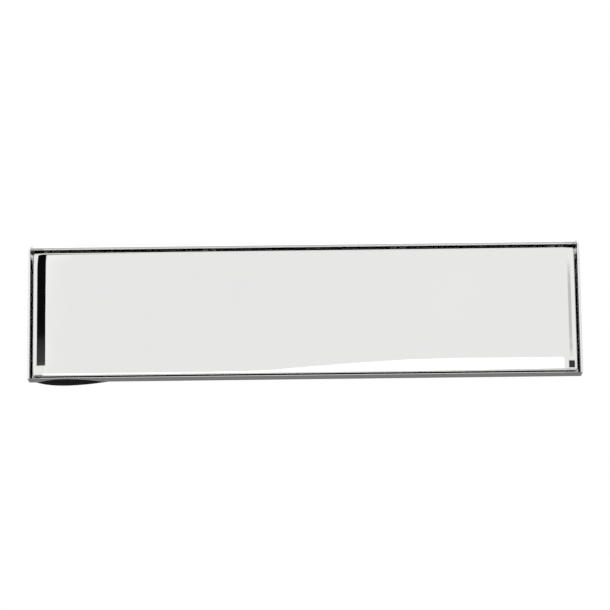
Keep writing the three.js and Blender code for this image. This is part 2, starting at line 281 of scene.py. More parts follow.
class Nodes:
    """Short way to build a node tree."""

    def __init__(self, name):
        self.material = bpy.data.materials.new(name)
        self.material.use_nodes = True
        self.tree = self.material.node_tree
        self.shader = self.tree.nodes["Principled BSDF"]

    def add(self, kind, values=None, **attributes):
        node = self.tree.nodes.new(kind)
        for key, value in attributes.items():
            setattr(node, key, value)
        for key, value in (values or {}).items():
            node.inputs[key].default_value = value
        return node

    def link(self, source, output, target, socket):
        self.tree.links.new(source.outputs[output], target.inputs[socket])

    def coordinates(self, scale=(1, 1, 1)):
        place_node = self.add("ShaderNodeTexCoord")
        mapping = self.add("ShaderNodeMapping", {"Scale": scale})
        self.link(place_node, "Object", mapping, "Vector")
        return mapping

    def noise(self, scale, detail=3.0, stretch=(1, 1, 1), rough=0.5):
        texture = self.add("ShaderNodeTexNoise", {"Scale": scale, "Detail": detail, "Roughness": rough})
        self.link(self.coordinates(stretch), "Vector", texture, "Vector")
        return texture

    def remap(self, source, output, low_out, high_out, low_in=0.3, high_in=0.7):
        node = self.add("ShaderNodeMapRange", {
            "From Min": low_in, "From Max": high_in, "To Min": low_out, "To Max": high_out})
        self.link(source, output, node, "Value")
        return node

    def bump(self, source, output, strength, distance, below=None):
        node = self.add("ShaderNodeBump", {"Strength": strength, "Distance": distance})
        self.link(source, output, node, "Height")
        if below is not None:
            self.link(below, "Normal", node, "Normal")
        return node

    def mix(self, source, output, first, second):
        node = self.add("ShaderNodeMix", data_type="RGBA")
        node.inputs["A"].default_value = (*first, 1)
        node.inputs["B"].default_value = (*second, 1)
        self.link(source, output, node, "Factor")
        return node

    def set(self, **values):
        for key, value in values.items():
            self.shader.inputs[key.replace("_", " ")].default_value = value


def chrome_material(name, tint=(0.775, 0.772, 0.768)):
    """Mirror chrome: faint ripple from polishing, hairline scratches and a trace of haze."""
    m = Nodes(name)
    m.set(Metallic=1.0, Base_Color=(*tint, 1))
    haze = m.noise(90, 4, rough=0.6)
    rough = m.remap(haze, "Fac", 0.012, 0.035)
    m.link(rough, "Result", m.shader, "Roughness")
    ripple = m.noise(55, 1.5, stretch=(1, 1, 1.4))
    wave = m.bump(ripple, "Fac", 0.35, 0.00006)
    scratch = m.noise(900, 2, stretch=(1, 1, 14), rough=0.7)
    fine = m.bump(scratch, "Fac", 0.02, 0.00002, below=wave)
    m.link(fine, "Normal", m.shader, "Normal")
    cloud = m.noise(18, 3)
    colour = m.mix(cloud, "Fac", [c * 0.985 for c in tint], [min(1.0, c * 1.012) for c in tint])
    m.link(colour, "Result", m.shader, "Base Color")
    return m.material


def metal_material(name, colour, rough, grain, stretch=(1, 1, 1), depth=0.00003):
    """Worked metal: drawn or turned grain, stains and bright high spots."""
    m = Nodes(name)
    m.set(Metallic=1.0)
    lines = m.noise(grain, 5, stretch=stretch, rough=0.65)
    stain = m.noise(140, 4, rough=0.6)
    shade = m.mix(stain, "Fac", [c * 0.78 for c in colour], [min(1.0, c * 1.12) for c in colour])
    m.link(shade, "Result", m.shader, "Base Color")
    level = m.remap(lines, "Fac", rough * 0.75, rough * 1.3)
    m.link(level, "Result", m.shader, "Roughness")
    m.link(m.bump(lines, "Fac", 0.35, depth), "Normal", m.shader, "Normal")
    return m.material


def moulded_material(name, colour, rough, grain, depth, specular=0.5):
    """Moulded plastic or rubber with a fine spark-eroded texture and scuffs."""
    m = Nodes(name)
    m.shader.inputs["Specular IOR Level"].default_value = specular
    skin = m.add("ShaderNodeTexVoronoi", {"Scale": grain})
    m.link(m.coordinates(), "Vector", skin, "Vector")
    scuff = m.noise(60, 6, stretch=(1, 3, 1), rough=0.7)
    shade = m.mix(scuff, "Fac", [c * 0.8 for c in colour], [min(1.0, c * 1.35) for c in colour])
    m.link(shade, "Result", m.shader, "Base Color")
    level = m.remap(scuff, "Fac", rough * 0.85, min(1.0, rough * 1.15))
    m.link(level, "Result", m.shader, "Roughness")
    m.link(m.bump(skin, "Distance", 0.5, depth), "Normal", m.shader, "Normal")
    return m.material


CHROME_FLAP = chrome_material("chrome_flap")
CHROME_FRAME = chrome_material("chrome_frame", (0.765, 0.762, 0.758))
STEEL = metal_material("zinc_steel", (0.62, 0.63, 0.65), 0.32, 500)
SPRING = metal_material("spring_wire", (0.50, 0.51, 0.53), 0.28, 900)
BRASS = metal_material("turned_brass", (0.72, 0.56, 0.27), 0.3, 700, stretch=(1, 8, 1))
ALUMINIUM = metal_material("mill_aluminium", (0.66, 0.67, 0.69), 0.38, 300, stretch=(0.05, 1, 1))
SLEEVE = moulded_material("sleeve_plastic", (0.022, 0.023, 0.025), 0.48, 2600, 0.00004)
FOAM = moulded_material("foam_rubber", (0.012, 0.012, 0.013), 0.9, 1800, 0.00018, 0.2)
BUFFER = moulded_material("buffer_rubber", (0.02, 0.02, 0.021), 0.7, 3000, 0.00003, 0.3)
BRISTLE = moulded_material("nylon_bristle", (0.03, 0.03, 0.031), 0.42, 5000, 0.00001)
CAP = moulded_material("cap_plastic", (0.62, 0.63, 0.64), 0.3, 3200, 0.000015)


# ---------------------------------------------------------------- frame

def frame_loop(left_right, bottom, top, upper, lower, y, steps=10):
    """Rounded rectangle inset by its own amount at the sides, the bottom and the top."""
    half = HALF_W - left_right
    high, low_z = HALF_H - top, bottom - HALF_H
    points = []
    corners = ((1, high, upper), (-1, high, upper), (-1, low_z, lower), (1, low_z, lower))
    for corner, (sx, z, radius) in enumerate(corners):
        cz = z - radius if corner < 2 else z + radius
        for i in range(steps + 1):
            angle = (corner + i / steps) * math.pi / 2
            points.append((sx * (half - radius) + radius * math.cos(angle), y, cz + radius * math.sin(angle)))
    return points


def frame_loops():
    """Loops from the back of the outer wall round the sloping rim, over the floor, through the slot and back."""
    loops = []

    def add(inset, y, upper, lower=FRAME_FOOT):
        loops.append(frame_loop(inset, inset, inset, max(0.05, upper), max(0.05, lower), y))

    def mouth(side, share, y, foot=0.3):
        loops.append(frame_loop(side, share * RIM_BOTTOM, share * RIM_TOP, max(0.3, FRAME_CORNER - side), foot, y))

    edge = 0.2
    add(edge, BACK, FRAME_CORNER - edge, 0.2)
    add(0.06, BACK - 0.06, FRAME_CORNER - 0.06, 0.34)
    add(0.0, BACK - edge, FRAME_CORNER)
    add(0.0, BACK - edge - 0.1, FRAME_CORNER)
    add(0.0, FRONT + 0.2, FRAME_CORNER)
    add(0.0, FRONT + 0.1, FRAME_CORNER)
    mouth(0.1, 0.03, FRONT)
    steps = 14
    for i in range(steps + 1):
        share = i / steps
        tilt = math.radians(RIM_TILT[0] + (RIM_TILT[1] - RIM_TILT[0]) * share)
        fall = 0.0 if i == 0 else fall + RIM_SLOPE * math.tan(tilt) / steps
        mouth(LIP_SIDE + (RIM - LIP_SIDE) * share, 0.06 + 0.94 * share, FRONT + fall)
    scale = RIM_SLOPE / fall
    for k in range(steps + 1):
        row = loops[-1 - k]
        loops[-1 - k] = [(x, FRONT + (y - FRONT) * scale, z) for x, y, z in row]
    fillet = 0.5
    for i in range(6):
        angle = math.pi / 2 * i / 5
        inset = fillet - fillet * math.cos(angle)
        y = FLOOR_FRONT - fillet + fillet * math.sin(angle)
        loops.append(frame_loop(RIM + inset, RIM_BOTTOM + inset, RIM_TOP + inset, 1.1, 0.4, y))

    def slot(grow, y):
        loops.append(rounded(SLOT_HALF_W + grow, -SLOT_HALF_H - grow, SLOT_HALF_H + grow, SLOT_CORNER + grow, y))

    lip = 0.4
    for i in range(5):
        angle = math.pi / 2 * i / 4
        slot(lip - lip * math.sin(angle), FLOOR_FRONT + lip - lip * math.cos(angle))
    slot(0, FLOOR_BACK)
    add(BACK_RIM, FLOOR_BACK, 1.0, 1.0)
    add(BACK_RIM, BACK - 0.1, 1.0, 1.0)
    add(BACK_RIM - 0.1, BACK, 1.1, 1.1)
    return loops


def ear(x):
    half = EAR_W / 2
    disc = along_x(moved(turned([(0, -half), (KNUCKLE_R - 0.2, -half), (KNUCKLE_R, 0.2 - half),
                                 (KNUCKLE_R, half - 0.2), (KNUCKLE_R - 0.2, half), (0, half)], 40), y=x))
    web = block(x - half, x + half, AXIS_Y - 1.4, FLOOR_FRONT + 0.4, AXIS_Z - 5, AXIS_Z - 0.4)
    return [disc, web]


def cylinder_y(radius, y0, y1, x, z, steps=32):
    return moved(turned([(0, y0), (radius, y0), (radius, y1), (0, y1)], steps), x=x, z=z)


def hinge_bore(steps=32):
    reach = PIN_HALF
    return along_x(turned([(0, -reach), (PIN_R + GAP, -reach), (PIN_R + GAP, reach), (0, reach)], steps))


SCREW_SPOTS = [(x, z) for x in (-SCREW_X, SCREW_X) for z in (SCREW_Z, -SCREW_Z)]


def build_frame():
    piece = make("frame_casting", *loft(frame_loops(), cyclic=True))
    unions = [solid for x in EAR_X for solid in ear(x)]
    unions += [cylinder_y(6.8, FLOOR_BACK - 0.4, BACK, x, 0) for x in (-BOLT_X, BOLT_X)]
    cuts = [cylinder_y(SCREW_R + GAP, FLOOR_FRONT + 0.6, 0, x, z, 20) for x, z in SCREW_SPOTS]
    cuts += [cylinder_y(BOLT_R + GAP + 0.05, FRONT, 1, x, 0) for x in (-BOLT_X, BOLT_X)]
    cuts += [cylinder_y(POST_R + GAP, FLOOR_BACK, 1, x, 0) for x in (-BOLT_X, BOLT_X)]
    cuts.append(hinge_bore())
    boolean(piece, unions, "UNION")
    boolean(piece, cuts, "DIFFERENCE")
    return finish_piece(piece, CHROME_FRAME, "plate", ["frame"])


# ---------------------------------------------------------------- flap

def pillow(distance):
    """Depth by which the face has fallen at this distance from its edge."""
    if distance >= PILLOW_W:
        return 0.0
    return PILLOW_DROP * (1 - distance / PILLOW_W) ** 2


def face_depth(x, z):
    return pillow(FLAP_HALF - abs(x)) + pillow(z - FLAP_BOTTOM) + pillow(FLAP_TOP - z)


def border_lines(start, end, fine=0.35, reach=PILLOW_W + 1.5):
    """Grid lines from start to end, close together in the curved borders."""
    count = int(reach / fine)
    left = [start + reach * i / count for i in range(count + 1)]
    right = [end - reach * i / count for i in range(count, -1, -1)]
    middle_count = max(2, int((right[0] - left[-1]) / 12))
    middle = [left[-1] + (right[0] - left[-1]) * i / middle_count for i in range(1, middle_count)]
    return left + middle + right


def flap_shell():
    """Closed pan: curved face, rounded edge, returned wall and the hollow behind."""
    radius = FLAP_EDGE_R
    xs = border_lines(radius - FLAP_HALF, FLAP_HALF - radius)
    zs = border_lines(FLAP_BOTTOM + radius, FLAP_TOP - radius)
    verts, faces, index = [], [], {}
    for j, z in enumerate(zs):
        for i, x in enumerate(xs):
            index[i, j] = len(verts)
            verts.append((x, FRONT + face_depth(x, z), z))
    for j in range(len(zs) - 1):
        for i in range(len(xs) - 1):
            faces.append((index[i, j], index[i + 1, j], index[i + 1, j + 1], index[i, j + 1]))
    last_i, last_j = len(xs) - 1, len(zs) - 1
    steps = 10

    # Round the grid's border anticlockwise from the top right corner, with a fan at each corner.
    walk = []
    corners = ((last_i, last_j), (0, last_j), (0, 0), (last_i, 0))
    runs = ([(i, last_j) for i in range(last_i - 1, 0, -1)], [(0, j) for j in range(last_j - 1, 0, -1)],
            [(i, 0) for i in range(1, last_i)], [(last_i, j) for j in range(1, last_j)])
    for corner, (spot, run) in enumerate(zip(corners, runs)):
        for k in range(steps + 1):
            walk.append((index[spot], (corner + k / steps) * math.pi / 2))
        for cell in run:
            walk.append((index[cell], (corner + 1) * math.pi / 2))
    rings = [[vertex for vertex, _ in walk]]

    def add_ring(reach, y_of):
        ids = []
        for vertex, angle in walk:
            x, _, z = verts[vertex]
            px = x + reach * math.cos(angle)
            pz = z + reach * math.sin(angle)
            ids.append(len(verts))
            verts.append((px, y_of(px, pz), pz))
        rings.append(ids)

    edge_steps = 12
    for k in range(1, edge_steps + 1):
        angle = math.pi / 2 * k / edge_steps
        drop = radius - radius * math.cos(angle)
        add_ring(radius * math.sin(angle), lambda px, pz, drop=drop: FRONT + face_depth(px, pz) + drop)
    back = FRONT + FLAP_DEPTH
    wall_in = radius - FLAP_SKIN
    add_ring(radius, lambda px, pz: back - 0.3)
    add_ring(radius - 0.09, lambda px, pz: back - 0.09)
    add_ring(radius - 0.3, lambda px, pz: back)
    add_ring(wall_in + 0.3, lambda px, pz: back)
    add_ring(wall_in + 0.09, lambda px, pz: back - 0.09)
    add_ring(wall_in, lambda px, pz: back - 0.3)
    skin_back = FRONT + FLAP_SKIN
    for k in range(0, 7):
        angle = math.pi / 2 * k / 6
        depth = wall_in - wall_in * math.sin(angle)
        reach = wall_in * math.cos(angle)
        add_ring(reach, lambda px, pz, depth=depth: skin_back + depth + 0.0)
    for a, b in zip(rings, rings[1:]):
        count = len(a)
        for k in range(count):
            n = (k + 1) % count
            corner_ids = list(dict.fromkeys((a[k], b[k], b[n], a[n])))
            if len(corner_ids) > 2:
                faces.append(tuple(corner_ids))
    faces.append(tuple(rings[-1]))
    return verts, faces


def knuckle(x):
    half = KNUCKLE_W / 2
    disc = along_x(moved(turned([(0, -half), (KNUCKLE_R - 0.2, -half), (KNUCKLE_R, 0.2 - half),
                                 (KNUCKLE_R, half - 0.2), (KNUCKLE_R - 0.2, half), (0, half)], 40), y=x))
    web = block(x - half, x + half, FRONT + FLAP_SKIN - 0.4, AXIS_Y, AXIS_Z - KNUCKLE_R, AXIS_Z + KNUCKLE_R)
    return [disc, web]


def build_flap():
    piece = make("flap_pressing", *flap_shell())
    relief = block(-FLAP_HALF - 1, FLAP_HALF + 1, AXIS_Y - GAP, 0, AXIS_Z - 3.2, FLAP_TOP + 1)
    boolean(piece, [relief], "DIFFERENCE")
    boolean(piece, [solid for x in KNUCKLE_X for solid in knuckle(x)], "UNION")
    boolean(piece, [hinge_bore()], "DIFFERENCE")
    return finish_piece(piece, CHROME_FLAP, "flap", ["flap"])


def build_bumper(word, side):
    start = FRONT + FLAP_SKIN + GAP
    end = FLOOR_FRONT - GAP
    profile = [(0, start), (2.8, start), (3, start + 0.2), (3, end - 1.2)]
    profile += [(1.8 + 1.2 * math.cos(a), end - 1.2 + 1.2 * math.sin(a)) for a in (0.3, 0.6, 0.9, 1.2, 1.5)]
    profile.append((0, end))
    piece = make(f"flap_buffer_{word}", *moved(turned(profile, 32), x=side * 138, z=FLAP_BOTTOM + 6))
    finish_piece(piece, BUFFER, "flap", [f"flap_bumper_{word}"])


# ---------------------------------------------------------------- hinge

def build_pin():
    chamfer = 0.3
    profile = [(0, -PIN_HALF), (PIN_R - chamfer, -PIN_HALF), (PIN_R, chamfer - PIN_HALF)]
    profile += [(PIN_R, PIN_HALF - chamfer), (PIN_R - chamfer, PIN_HALF), (0, PIN_HALF)]
    piece = make("hinge_rod", *along_x(turned(profile, 28)))
    finish_piece(piece, STEEL, "plate", ["hinge_pin"])


def build_clip(word, side):
    """Push-on retainer: a dished ring."""
    x = side * 145.4
    inner = PIN_R + GAP
    profile = [(inner, -0.4), (inner + 0.3, -0.4), (2.1, -0.1), (2.2, 0.0), (2.2, 0.3)]
    profile += [(2.1, 0.4), (inner + 0.35, 0.1), (inner, 0.0)]
    piece = make(f"pin_retainer_{word}", *along_x(moved(ring(profile, 32), y=x)))
    finish_piece(piece, STEEL, "plate", [f"pin_clip_{word}"])


def spring_path(x0, direction):
    """Points of a torsion spring: a leg on the floor, the coil, a leg on the flap."""
    points = []
    corner_y, corner_z = AXIS_Y + COIL_R, -6.2
    for i in range(6):
        t = i / 5
        y = (1 - t) ** 2 * (AXIS_Y + 3.7) + 2 * t * (1 - t) * (AXIS_Y + 2.6) + t * t * corner_y
        z = (1 - t) ** 2 * -9.5 + 2 * t * (1 - t) * -7.6 + t * t * corner_z
        points.append((x0, y, AXIS_Z + z))
    points.append((x0, corner_y, AXIS_Z - 3))
    steps = int(COIL_TURNS * 28)
    for i in range(steps + 1):
        turn = COIL_TURNS * i / steps
        angle = TAU * turn
        x = x0 + direction * COIL_PITCH * turn
        points.append((x, AXIS_Y + COIL_R * math.cos(angle), AXIS_Z + COIL_R * math.sin(angle)))
    x_end = x0 + direction * COIL_PITCH * COIL_TURNS
    for z in (-3, -8, -13.9):
        points.append((x_end, AXIS_Y - COIL_R, AXIS_Z + z))
    return points


def build_spring(word, side):
    x0 = side * 46.5
    piece = make(f"torsion_spring_{word}", *sweep(spring_path(x0, -side), WIRE_R - 0.01, 10))
    piece.data.materials.append(SPRING)
    piece.data.shade_smooth()
    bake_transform(piece)
    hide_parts(f"flap_spring_{word}")


# ---------------------------------------------------------------- gasket, sleeve and brushes

def dense_loop(half_w, half_h, radius, y, corner_steps=6, across=150, upright=36):
    """Rounded rectangle with its straight runs divided too."""
    points = []
    centres = ((half_w - radius, half_h - radius), (radius - half_w, half_h - radius),
               (radius - half_w, radius - half_h), (half_w - radius, radius - half_h))
    for corner, (cx, cz) in enumerate(centres):
        arc = []
        for i in range(corner_steps + 1):
            angle = (corner + i / corner_steps) * math.pi / 2
            arc.append((cx + radius * math.cos(angle), y, cz + radius * math.sin(angle)))
        points += arc
        nx, nz = centres[(corner + 1) % 4]
        turn = (corner + 1) * math.pi / 2
        end = (nx + radius * math.cos(turn), nz + radius * math.sin(turn))
        count = across if corner % 2 == 0 else upright
        for i in range(1, count):
            t = i / count
            points.append((arc[-1][0] + (end[0] - arc[-1][0]) * t, y, arc[-1][2] + (end[1] - arc[-1][2]) * t))
    return points


def build_gasket():
    """Foam ring with a soft, slightly uneven outer edge; the bulge of dark foam under the left end is painted shadow,
    standing in for the contact shadow there.
    """
    front, back = low("gasket").y, high("gasket").y
    half_w, half_h = high("gasket").x, high("gasket").z
    peak = -half_h - low("gasket").z
    start, middle, end = -150.5, -138.0, -104.0
    draw = random.Random(3)
    phases = [draw.uniform(0, TAU) for _ in range(4)]

    def shadow_bulge(x):
        """Depth of the dark-foam bulge that stands in for the contact shadow (painted shadow): the same quadratic
        curve as the CAD part's, read off by its x.
        """
        if not start < x < end:
            return 0.0
        a = start - 2 * middle + end
        b = 2 * (middle - start)
        t = (-b + math.sqrt(b * b + 4 * a * (x - start))) / (2 * a)
        return 4 * peak * t * (1 - t)

    def outer(inset, y):
        loop = []
        for px, py, pz in dense_loop(half_w - inset, half_h - inset, 2, y):
            wave = sum(math.sin(px * (0.11 + 0.07 * k) + pz * 0.2 + phases[k]) for k in range(4)) / 4
            shift = 0.12 * (wave - 1)
            if pz < 1 - half_h:
                # bottom edge pushed down into a bulge of dark foam that stands in for the contact shadow: painted
                # shadow
                pz -= shadow_bulge(px)
                pz -= shift if shadow_bulge(px) == 0 else 0
            elif pz > half_h - 1:
                pz += shift
            loop.append((px, py, pz))
        return loop

    def inner(inset, y):
        return dense_loop(146 + inset, 30.5 + inset, 2, y)

    soft = 0.2
    loops = [outer(soft, front), outer(soft * 0.3, front + soft * 0.3), outer(0, front + soft)]
    loops += [outer(0, back - soft), outer(soft * 0.3, back - soft * 0.3), outer(soft, back)]
    loops += [inner(soft, back), inner(0, back - soft), inner(0, front + soft), inner(soft, front)]
    piece = make("foam_ring", *loft(loops, cyclic=True))
    finish_piece(piece, FOAM, "plate", ["gasket"], sharp=60)


def build_sleeve():
    flange_back = FLANGE_FRONT + 1.2
    inner_w, inner_h = SLEEVE_HALF_W - SLEEVE_WALL, SLEEVE_HALF_H - SLEEVE_WALL
    loops = []

    def add(half_w, half_h, radius, y):
        loops.append(rounded(half_w, -half_h, half_h, radius, y, 8))

    edge = 0.25
    add(133.2 - edge, 27 - edge, 3 - edge, FLANGE_FRONT)
    add(133.2, 27, 3, FLANGE_FRONT + edge)
    add(133.2, 27, 3, flange_back - edge)
    add(133.2 - edge, 27 - edge, 3 - edge, flange_back)
    fillet = 0.5
    for i in range(4):
        angle = math.pi / 2 * i / 3
        grow = fillet - fillet * math.sin(angle)
        add(SLEEVE_HALF_W + grow, SLEEVE_HALF_H + grow, 3 + grow, flange_back + fillet - fillet * math.cos(angle))
    for i in range(5):
        angle = math.pi * i / 4
        shrink = SLEEVE_WALL / 2 * (1 - math.cos(angle))
        y = SLEEVE_END - SLEEVE_WALL / 2 + SLEEVE_WALL / 2 * math.sin(angle)
        add(SLEEVE_HALF_W - shrink, SLEEVE_HALF_H - shrink, 3 - shrink, y)
    add(inner_w, inner_h, 1.5, FLANGE_FRONT + 0.4)
    add(inner_w + 0.3, inner_h + 0.3, 1.8, FLANGE_FRONT)
    piece = make("sleeve_moulding", *loft(loops, cyclic=True))
    boolean(piece, [cylinder_y(SCREW_R + GAP, -10, 5, x, z, 20) for x, z in SCREW_SPOTS], "DIFFERENCE")
    finish_piece(piece, SLEEVE, "plate", ["sleeve"])


def build_screw(index, x, z):
    head = FLANGE_FRONT + 1.2 + GAP
    top = head + 1.1
    profile = [(0, FLOOR_FRONT + 0.9), (SCREW_R, FLOOR_FRONT + 1.5), (SCREW_R, head), (2.3, head)]
    profile += [(2.4, head + 0.1), (2.4, top - 0.5), (2.2, top - 0.25), (1.8, top - 0.08), (1.2, top), (0, top)]
    piece = make(f"liner_screw_{index}", *moved(turned(profile, 32), x=x, z=z))
    boolean(piece, cross_recess(x, z, top, 1.1), "DIFFERENCE")
    finish_piece(piece, STEEL, "plate", [f"sleeve_screw_{index}"])


def cross_recess(x, z, top, reach):
    depth, half = 0.7, 0.35
    return [block(x - reach, x + reach, top - depth, top + 1, z - half, z + half),
            block(x - half, x + half, top - depth, top + 1, z - reach, z + reach)]


def build_carrier(word, side):
    """Rolled channel, open towards the middle of the slot."""
    bottom, top = 13.2, 18.2
    if side < 0:
        bottom, top = 18.2 * -1, 13.2 * -1
    y0, y1 = low(f"{word}_brush_carrier").y, high(f"{word}_brush_carrier").y
    wall = 0.8
    base, lip = (top, bottom) if side > 0 else (bottom, top)
    inward = -side
    r = 0.35
    section = [(y0, lip), (y0, base + inward * r), (y0 + 0.3 * r, base + inward * 0.3 * r), (y0 + r, base),
               (y1 - r, base), (y1 - 0.3 * r, base + inward * 0.3 * r), (y1, base + inward * r), (y1, lip),
               (y1 - wall, lip), (y1 - wall, base + inward * wall),
               (y0 + wall, base + inward * wall), (y0 + wall, lip)]
    half = high(f"{word}_brush_carrier").x
    loops = [[(x, y, z) for y, z in section] for x in (-half, half)]
    piece = make(f"{word}_channel", *loft(loops, capped=True))
    finish_piece(piece, ALUMINIUM, "plate", [f"{word}_brush_carrier"], sharp=40)


def build_brush(word, side):
    """Rows of separate tapered bristles, each a thin three-sided strand with a slight lean."""
    draw = random.Random(11 if side > 0 else 12)
    box_low, box_high = low(f"{word}_brush"), high(f"{word}_brush")
    root = box_high.z if side > 0 else box_low.z
    tip = box_low.z if side > 0 else box_high.z
    pitch = 0.42
    rows = 4
    count = int((box_high.x - box_low.x - 0.8) / pitch)
    verts, faces = [], []
    for row in range(rows):
        row_y = box_low.y + (box_high.y - box_low.y) * (row + 0.5) / rows
        for i in range(count):
            x = box_low.x + 0.4 + pitch * (i + 0.5 * (row % 2)) + draw.uniform(-0.06, 0.06)
            lean_x = draw.uniform(-0.35, 0.35)
            lean_y = draw.uniform(-0.22, 0.22)
            short = draw.uniform(0, 0.7)
            thick = draw.uniform(0.13, 0.17)
            start = len(verts)
            for t, swell in ((0.0, 1.0), (0.55, 0.95), (1.0, 0.6)):
                z = root + (tip - root - math.copysign(short, tip - root)) * t
                cx = min(max(x + lean_x * t * t, box_low.x + 0.2), box_high.x - 0.2)
                cy = min(max(row_y + lean_y * t * t, box_low.y + 0.2), box_high.y - 0.2)
                for k in range(3):
                    angle = TAU * k / 3 + i
                    verts.append((cx + thick * swell * math.cos(angle), cy + thick * swell * math.sin(angle), z))
            for level in (0, 3):
                for k in range(3):
                    n = (k + 1) % 3
                    faces.append((start + level + k, start + level + n, start + level + 3 + n, start + level + 3 + k))
            faces.append((start, start + 2, start + 1))
            faces.append((start + 6, start + 7, start + 8))
    piece = make(f"{word}_bristles", verts, faces)
    finish_piece(piece, BRISTLE, "plate", [f"{word}_brush"], sharp=70)


# ---------------------------------------------------------------- fixings

def build_post(word, side):
    y0, y1 = low(f"threaded_post_{word}").y, high(f"threaded_post_{word}").y
    root = FLOOR_BACK + GAP
    bore = BOLT_R + GAP
    profile = [(0, y0), (BOLT_R - 0.2, y0), (BOLT_R, y0 + 0.2), (BOLT_R, root),
               (POST_R - 0.2, root), (POST_R, root + 0.2)]
    for groove in (8.0, 9.6, 11.2):
        profile += [(POST_R, groove - 0.3), (POST_R - 0.25, groove), (POST_R, groove + 0.3)]
    profile += [(POST_R, y1 - 0.6), (POST_R - 0.2, y1 - 0.2), (POST_R - 0.6, y1), (bore + 0.4, y1), (bore, y1 - 0.5)]
    y = y1 - 1.0
    while y > -1.0:
        profile += [(bore, y), (bore + 0.18, y - 0.3), (bore + 0.18, y - 0.5), (bore, y - 0.8)]
        y -= 0.8
    profile += [(bore, -2.0), (0, -3.0)]
    piece = make(f"brass_post_{word}", *moved(turned(profile, 40), x=side * BOLT_X))
    finish_piece(piece, BRASS, "plate", [f"threaded_post_{word}"], sharp=30)


def threaded_rod(radius, y0, y1, pitch=0.8, steps=28, per_turn=8):
    """Shank with a true helical thread between y0 and y1, closed at both ends."""
    depth = 0.45
    rows = int((y1 - y0) / pitch * per_turn)
    loops = []
    for row in range(rows + 1):
        y = y0 + (y1 - y0) * row / rows
        fade = min(1.0, (y - y0) / 0.8, (y1 - y) / 0.8)
        loop = []
        for k in range(steps):
            phase = (y / pitch - k / steps) % 1.0
            tooth = abs(2 * phase - 1)
            r = radius - depth * (1 - tooth) * fade
            if y - y0 < 0.8:
                r = min(r, radius - 0.8 + (y - y0))
            angle = TAU * k / steps
            loop.append((r * math.cos(angle), y, r * math.sin(angle)))
        loops.append(loop)
    return loft(loops, capped=True)


def build_bolt(word, side):
    x = side * BOLT_X
    tip = low(f"fixing_bolt_{word}").y
    top = high(f"fixing_bolt_{word}").y
    base = top - 2.6
    piece = make(f"machine_bolt_{word}", *moved(threaded_rod(BOLT_R - 0.01, tip, base + 0.3), x=x))
    dome = [(0, base), (4.4, base), (4.6, base + 0.2), (4.6, base + 1.2)]
    dome += [(4.6 - 1.6 * (1 - math.cos(a)), base + 1.2 + 1.4 * math.sin(a)) for a in (0.4, 0.8, 1.2)]
    dome += [(2.6, top), (0, top)]
    boolean(piece, [moved(turned(dome, 40), x=x)], "UNION")
    boolean(piece, cross_recess(x, 0, top, 1.9), "DIFFERENCE")
    finish_piece(piece, STEEL, f"bolt_{word}", [f"fixing_bolt_{word}"])


def build_washer(word, side):
    y0, y1 = low(f"bolt_washer_{word}").y, high(f"bolt_washer_{word}").y
    bore = BOLT_R + GAP + 0.05
    profile = [(bore, y0 + 0.1), (bore + 0.1, y0), (8.8, y0), (9.0, y0 + 0.2), (9.0, y1 - 0.7)]
    profile += [(8.9, y1 - 0.4), (8.6, y1 - 0.15), (8.1, y1), (bore + 0.15, y1), (bore, y1 - 0.15)]
    piece = make(f"cup_washer_{word}", *moved(ring(profile, 56), x=side * BOLT_X))
    finish_piece(piece, STEEL, f"bolt_{word}", [f"bolt_washer_{word}"])


def build_cap(word, side):
    y0, y1 = low(f"bolt_cap_{word}").y, high(f"bolt_cap_{word}").y
    inner_top = y1 - 1.1
    profile = [(0, inner_top), (4.6, inner_top), (5.0, inner_top - 0.3), (5.0, y0), (5.9, y0), (6.0, y0 + 0.15)]
    profile += [(6.0 - 1.3 * (1 - math.cos(a)), y1 - 1.3 + 1.3 * math.sin(a)) for a in (0, 0.4, 0.8, 1.2, 1.57)]
    profile.append((0, y1))
    piece = make(f"snap_cap_{word}", *moved(turned(profile, 56), x=side * BOLT_X))
    finish_piece(piece, CAP, f"bolt_{word}", [f"bolt_cap_{word}"])


build_frame()
build_flap()
build_pin()
build_gasket()
build_sleeve()
for number, (spot_x, spot_z) in enumerate(SCREW_SPOTS, 1):
    build_screw(number, spot_x, spot_z)
for label, direction in (("upper", 1), ("lower", -1)):
    build_carrier(label, direction)
    build_brush(label, direction)
for label, direction in SIDES:
    build_bumper(label, direction)
    build_clip(label, direction)
    build_spring(label, direction)
    build_post(label, direction)
    build_bolt(label, direction)
    build_washer(label, direction)
    build_cap(label, direction)


# ---------------------------------------------------------------- camera and light

CAMERA_DISTANCE = 1.6
CAMERA_ELEVATION = -12.0
CAMERA_ROLL = -0.68
VIEW_WIDTH = 0.3362
AIM = Vector((0.0004, FRONT * MM, 0.00224))
FLOOR_Z = -450                            # well below the camera, in mm
FLOOR_REACH = 3000
LAMP_POWER = 14


def set_camera():
    data = bpy.data.cameras.new("camera")
    data.sensor_width = 36.0
    data.lens = 18.0 * CAMERA_DISTANCE / (VIEW_WIDTH / 2)
    data.clip_end = 50.0
    camera = bpy.data.objects.new("camera", data)
    bpy.context.scene.collection.objects.link(camera)
    tilt = math.radians(CAMERA_ELEVATION)
    camera.location = AIM + CAMERA_DISTANCE * Vector((0, -math.cos(tilt), math.sin(tilt)))
    look = Matrix.Rotation(math.pi / 2 - tilt, 4, "X") @ Matrix.Rotation(math.radians(CAMERA_ROLL), 4, "Z")
    camera.rotation_euler = look.to_euler()
    bpy.context.scene.camera = camera


